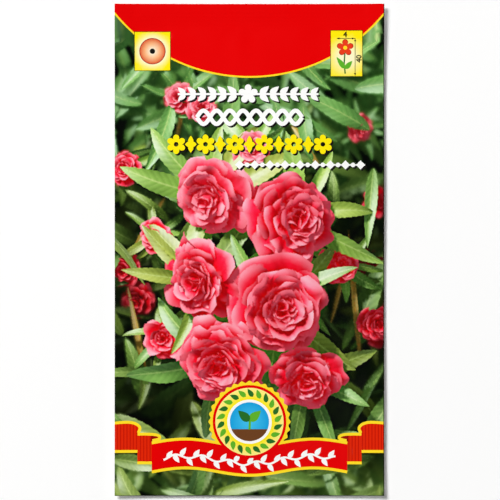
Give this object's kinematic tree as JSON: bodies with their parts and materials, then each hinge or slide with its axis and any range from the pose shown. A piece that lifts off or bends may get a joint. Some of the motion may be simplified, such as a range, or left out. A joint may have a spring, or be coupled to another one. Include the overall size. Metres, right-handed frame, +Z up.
{
  "type": "seed packet",
  "caption": "Flat retail seed packet with a printed front, heat-sealed on four sides, its belly holding a small batch of loose flower seeds.",
  "frame": {"origin": "on the table, under the middle of the packet as it lies on its back", "axes": "+X across the packet to the right, +Y up the printed front, +Z up, out of the printed front"},
  "size_m": [0.08, 0.146, 0.0033],
  "materials": {
    "front_print": "gloss-laminated paper with a full-bleed print: red header and ribbon, coral-pink blooms on green foliage",
    "back_print": "gloss-laminated off-white paper with a plain printed sowing chart",
    "seed_coat": "matt brown seed coat, finely wrinkled"
  },
  "bodies": {
    "root": {"front_sheet": "front_print", "back_sheet": "back_print", "seed_01": "seed_coat", "seed_02": "seed_coat", "seed_03": "seed_coat", "seed_04": "seed_coat", "seed_05": "seed_coat", "seed_06": "seed_coat", "seed_07": "seed_coat", "seed_08": "seed_coat", "seed_09": "seed_coat", "seed_10": "seed_coat", "seed_11": "seed_coat", "seed_12": "seed_coat", "seed_13": "seed_coat", "seed_14": "seed_coat", "seed_15": "seed_coat", "seed_16": "seed_coat", "seed_17": "seed_coat", "seed_18": "seed_coat", "seed_19": "seed_coat", "seed_20": "seed_coat", "seed_21": "seed_coat", "seed_22": "seed_coat", "seed_23": "seed_coat", "seed_24": "seed_coat"}
  },
  "joints": []
}
